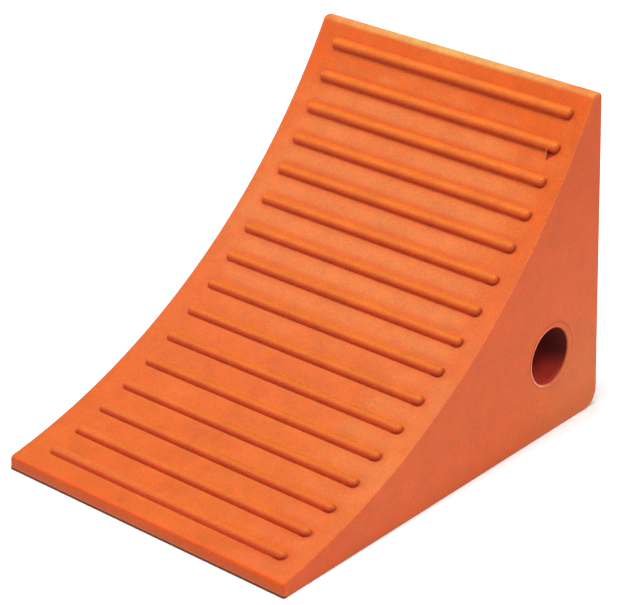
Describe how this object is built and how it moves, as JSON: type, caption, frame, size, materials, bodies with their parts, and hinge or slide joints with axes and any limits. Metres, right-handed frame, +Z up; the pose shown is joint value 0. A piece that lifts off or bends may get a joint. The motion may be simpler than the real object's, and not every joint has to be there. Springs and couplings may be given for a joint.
{
  "type": "wheel chock",
  "caption": "One-piece moulded truck and trailer wheel chock: a ribbed wedge with a hollow tyre face, an upright back and a cross hole for a rope or chain.",
  "frame": {"origin": "middle of the base, on the ground: half the base width and half the base length", "axes": "+X across the wheel, +Y from the thin toe to the upright back, +Z up"},
  "size_m": [0.285, 0.388, 0.275],
  "materials": {
    "urethane": "satin safety-orange moulded urethane, faintly mottled"
  },
  "bodies": {
    "root": {"chock_body": "urethane"}
  },
  "joints": []
}
